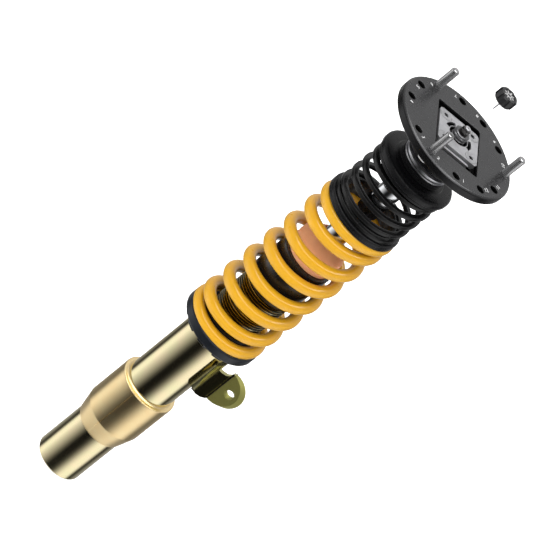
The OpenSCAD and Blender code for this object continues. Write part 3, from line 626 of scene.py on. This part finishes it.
def make_upper_seat():
    r, z0, z1 = span("upper_spring_seat")
    seat = z0 + 6
    pilot, hub, bore = 32.0, 24.8, 11.05
    rim = r - 1.5
    outline = filleted([(bore, seat - 2, 0), (pilot - 6, z0, 0.5), (pilot, z0, 0.8), (pilot, seat, 0),
                        (rim, seat, 1.0), (rim, seat + 3, 0.5), (rim - 1.2, seat + 3.5, 0.2),
                        (r, seat + 4.0, 1.2),
                        (r, seat + 11, 4.5), (hub + 4, seat + 11, 0), (hub + 3, seat + 11.8, 0.3),
                        (hub, seat + 12.0, 0.5), (hub, z1 - 3.4, 0.2), (hub - 0.5, z1 - 3.1, 0.1),
                        (hub - 0.5, z1 - 2.5, 0.1), (hub, z1 - 2.2, 0.2), (hub, z1, 0.3), (bore, z1, 0)])
    finish_piece(revolve("upper_spring_seat_fine", outline), "seat", "upper_spring_seat")


# ---- top mount ----

def make_studs():
    _, z0, z1 = span("mount_studs")
    face_z = span("top_plate")[2]
    under_z = span("top_plate")[1]
    r, head_r = 4.0, 6.2
    wide_crest = (0, 0, 0, 0, 0, 0.5, 1, 0.5)
    thread = thread_rows(r, 0.16, 1.25, face_z + 0.6, z1 - 1.4, wide_crest)
    studs = []
    for k, angle in enumerate(STUD_ANGLES):
        a = math.radians(angle)
        rows = [(0, z0), (head_r - 0.5, z0), (head_r, z0 + 0.5), (head_r, under_z), (r + 0.2, under_z),
                (r + 0.2, face_z), (r, face_z), *thread,
                (r - 0.3, z1 - 0.7), (r - 1.0, z1), (0, z1)]
        centre = (STUD_CIRCLE_R * math.cos(a), STUD_CIRCLE_R * math.sin(a))
        studs.append(revolve(f"stud_{k}", rows, 40, centre=centre, closed=False, sharp=50))
    finish_piece(joined("mount_studs_fine", studs), "plate", "mount_studs")


def joined(name, objects):
    """One object made of several, in the place of the first."""
    bm = bmesh.new()
    for obj in objects:
        bm.from_mesh(obj.data)
    mesh = bpy.data.meshes.new(name)
    bm.to_mesh(mesh)
    bm.free()
    for obj in objects:
        bpy.data.objects.remove(obj)
    return shown(name, mesh, 45)


def make_plate_numbers():
    """Generic numbers 1 to 12, one beside each hole or stud of the top plate."""
    face_z = span("top_plate")[2]
    places = (-63.5, -95, -118, -160, 171, 145, 113, 85, 56, 28, -10, -32.5)
    labels = []
    for number, angle in enumerate(places, 1):
        curve = bpy.data.curves.new(f"number_{number}", "FONT")
        curve.body = str(number)
        curve.size = NUMBER_SIZE * MM
        curve.extrude = NUMBER_RAISE * MM
        curve.align_x = "CENTER"
        curve.align_y = "CENTER"
        text = bpy.data.objects.new(f"number_{number}", curve)
        bpy.context.scene.collection.objects.link(text)
        bpy.context.view_layer.update()
        mesh = bpy.data.meshes.new_from_object(text.evaluated_get(bpy.context.evaluated_depsgraph_get()))
        bpy.data.objects.remove(text)
        a = math.radians(angle + 8.8)
        place = Vector((STUD_CIRCLE_R * math.cos(a), STUD_CIRCLE_R * math.sin(a), face_z)) * MM
        mesh.transform(Matrix.Translation(place) @ Matrix.Rotation(a + math.pi / 2, 4, "Z"))
        labels.append(shown(f"number_{number}", mesh))
    numbers = joined("plate_numbers", labels)
    wear_slot(numbers, "plate_anodised", "plate_ink")
    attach(numbers, "plate")


def make_knob_marks():
    """Generic raised marks in the knob's dish: a ring and eight ticks, one of them wider."""
    z1 = span("adjuster_knob")[2]
    low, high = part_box("adjuster_knob")
    middle = (low + high) / 2 / MM
    floor_z = z1 - 0.8
    mark_z = floor_z + 0.5
    ring = revolve("knob_ring", [(2.0, floor_z), (2.0, mark_z), (2.7, mark_z), (2.7, floor_z)], 48,
                   centre=(middle.x, middle.y))
    marks = [ring]
    for k in range(8):
        a = TURN * k / 8
        across = Vector((-math.sin(a), math.cos(a), 0))
        along = Vector((math.cos(a), math.sin(a), 0))
        half = 0.75 if k == 2 else 0.4
        corners = [Vector((middle.x, middle.y, 0)) + along * d + across * w
                   for d, w in ((3.3, -half), (5.6, -half), (5.6, half), (3.3, half))]
        points = [(c.x, c.y, z) for z in (floor_z, mark_z) for c in corners]
        faces = [(3, 2, 1, 0), (4, 5, 6, 7)] + [(i, (i + 1) % 4, 4 + (i + 1) % 4, 4 + i) for i in range(4)]
        marks.append(mesh_object(f"knob_tick_{k}", points, faces))
    piece = joined("knob_marks", marks)
    wear_slot(piece, "knob_black", "knob_mark")
    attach(piece, "knob")


def make_bevelled():
    """Machined and pressed parts whose CAD shape is right, with their edges rounded."""
    rows = (
        ("sway_bar_bracket", "housing", 0.7, 3), ("adjuster_ring", "adjuster", 0.35, 2),
        ("top_plate", "plate", 0.45, 2), ("camber_plate", "carrier", 0.3, 2),
        ("bearing_housing", "carrier", 0.3, 2), ("camber_screws", "carrier", 0.15, 2),
        ("top_nut", "rod", 0.2, 2), ("adjuster_knob", "knob", 0.35, 2), ("race_circlip", "carrier", 0.1, 2),
    )
    for node, body, width, segments in rows:
        obj = bevelled_copy(node, width, segments)
        wear_slot(obj, node_slots[node], node_finishes[node])
        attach(obj, body)


# ---- studio ----

def make_world():
    """White to the camera, and a ring of soft boxes to everything that reflects it."""
    world = bpy.data.worlds.new("studio")
    bpy.context.scene.world = world
    world.use_nodes = True
    tree = world.node_tree
    tree.nodes.clear()

    def node(kind, *inputs, **settings):
        made = tree.nodes.new("ShaderNode" + kind)
        for key, value in settings.items():
            setattr(made, key, value)
        for key, value in enumerate(inputs):
            if isinstance(value, bpy.types.NodeSocket):
                tree.links.new(value, made.inputs[key])
            elif value is not None:
                made.inputs[key].default_value = value
        return made

    def ramp(factor, stops):
        made = node("ValToRGB", factor)
        elements = made.color_ramp.elements
        while len(elements) < len(stops):
            elements.new(0.5)
        for element, (position, value) in zip(elements, stops):
            element.position = position
            element.color = (value, value, value, 1)
        return made.outputs[0]

    def mixed(factor, a, b):
        made = node("MixRGB", factor, a, b)
        return made.outputs[0]

    direction = node("TexCoord").outputs["Generated"]
    xyz = node("SeparateXYZ", direction).outputs
    front = node("Math", xyz[1], -1.0, operation="MULTIPLY").outputs[0]
    turn = node("Math", xyz[0], front, operation="ARCTAN2").outputs[0]
    around = node("Math", turn, TURN, operation="DIVIDE").outputs[0]
    around = node("Math", around, 0.5, operation="ADD").outputs[0]
    height = node("Math", node("Math", xyz[2], operation="ARCSINE").outputs[0], math.pi,
                  operation="DIVIDE").outputs[0]
    height = node("Math", height, 0.5, operation="ADD").outputs[0]
    # brightness by the angle from the front, towards +X: a soft box on each side, dark behind them
    boxes = ramp(around, [((angle + 180) / 360, value) for angle, value in (
        (-180, 0.50), (-160, 0.46), (-140, 0.24), (-130, 0.15), (-121, 0.055), (-110, 0.05),
        (-104, 0.35), (-97, 0.95), (-88, 1.08), (-78, 1.06), (-60, 0.70), (-40, 0.36), (-30, 0.20),
        (-20, 0.075), (-10, 0.010), (0, 0.008), (10, 0.012), (20, 0.04), (30, 0.15), (40, 0.37),
        (50, 0.67), (60, 0.93), (70, 1.05), (88, 1.05), (97, 0.88), (105, 0.30), (111, 0.03),
        (120, 0.06), (140, 0.25), (160, 0.38), (180, 0.50))])
    ceiling = ramp(around, [(0.0, 0.6), (0.2, 0.45), (0.33, 0.22), (0.67, 0.22), (0.8, 0.45), (1.0, 0.6)])
    strip = ramp(height, [((angle + 90) / 180, value) for angle, value in (
        (10, 0.0), (50, 0.0), (54, 4.5), (60, 4.5), (65, 0.2), (90, 0.3))])
    above = node("MixRGB", 1.0, ceiling, strip, blend_type="ADD").outputs[0]
    below = ramp(height, [((angle + 90) / 180, value) for angle, value in (
        (-90, 0.05), (-76, 0.05), (-64, 0.85), (0, 0.85))])
    rest = mixed(ramp(height, [(0.48, 0.0), (0.56, 1.0)]), below, above)
    sides = ramp(height, [((angle + 90) / 180, value) for angle, value in (
        (-56, 0.0), (-46, 1.0), (-8, 1.0), (8, 0.0))])
    seen = mixed(sides, rest, boxes)
    plain = node("LightPath").outputs["Is Camera Ray"]
    colour = mixed(plain, seen, (1.0, 1.0, 1.0, 1))
    shader = node("Background", colour, 1.0)
    tree.links.new(shader.outputs[0], node("OutputWorld").inputs[0])


def make_floor():
    """A wide pale floor just under the strut. Reflections look past it, at the soft boxes."""
    size = 40.0
    points = [(x * size / MM / 2, y * size / MM / 2, -0.4) for x, y in ((-1, -1), (1, -1), (1, 1), (-1, 1))]
    floor = mesh_object("floor", points, [(0, 1, 2, 3)])
    finish = Finish("floor_white", (0.86, 0.86, 0.86), roughness=0.9, emission_strength=0.45)
    finish.shader.inputs["Emission Color"].default_value = (1, 1, 1, 1)
    finish.link(finish.mix(finish.noise(900, 3), (0.86, 0.86, 0.86), (0.84, 0.84, 0.84)), "Base Color")
    floor.data.materials.append(finish.material)
    floor.visible_glossy = False


def make_lights():
    """A broad soft key from the upper left and a weaker fill, which light but aren't reflected."""
    for name, direction, strength, width in (("key", (0.35, 0.75, -0.75), 2.3, 50),
                                             ("fill", (-0.9, 0.3, -0.35), 0.8, 90)):
        light = bpy.data.lights.new(name, "SUN")
        light.energy = strength
        light.angle = math.radians(width)
        lamp = bpy.data.objects.new(name, light)
        lamp.rotation_euler = Vector(direction).to_track_quat("-Z", "Y").to_euler()
        lamp.visible_glossy = False
        bpy.context.scene.collection.objects.link(lamp)


def make_camera():
    """Looks at the strut from above its front, rolled so that the strut leans right."""
    tilt, roll = math.radians(CAMERA_TILT), math.radians(CAMERA_ROLL)
    target = Vector((0, 0, CAMERA_TARGET_Z))
    ahead = Vector((0, math.cos(tilt), -math.sin(tilt)))
    right0, up0 = Vector((1, 0, 0)), Vector((0, math.sin(tilt), math.cos(tilt)))
    right = math.cos(roll) * up0 + math.sin(roll) * right0
    up = math.sin(roll) * up0 - math.cos(roll) * right0
    data = bpy.data.cameras.new("camera")
    data.lens = LENS
    data.sensor_width = SENSOR_WIDTH
    data.clip_end = 100
    camera = bpy.data.objects.new("camera", data)
    turned = Matrix((right, up, -ahead)).transposed().to_4x4()
    camera.matrix_world = Matrix.Translation(target - ahead * CAMERA_DISTANCE) @ turned
    bpy.context.scene.collection.objects.link(camera)
    bpy.context.scene.camera = camera


make_camera()
for node, obj in frame["nodes"].items():
    obj.data.materials.clear()
    obj.data.materials.append(finishes[node_finishes[node]])
make_strut_tube()
make_collar()
make_main_spring()
make_helper_spring()
make_spring_plate()
make_adapter()
make_bump_stop()
make_dust_sleeve()
make_upper_seat()
make_studs()
make_plate_numbers()
make_knob_marks()
make_bevelled()
make_world()
make_floor()
make_lights()
bpy.context.scene.view_settings.view_transform = "Standard"

bpy.context.view_layer.update()
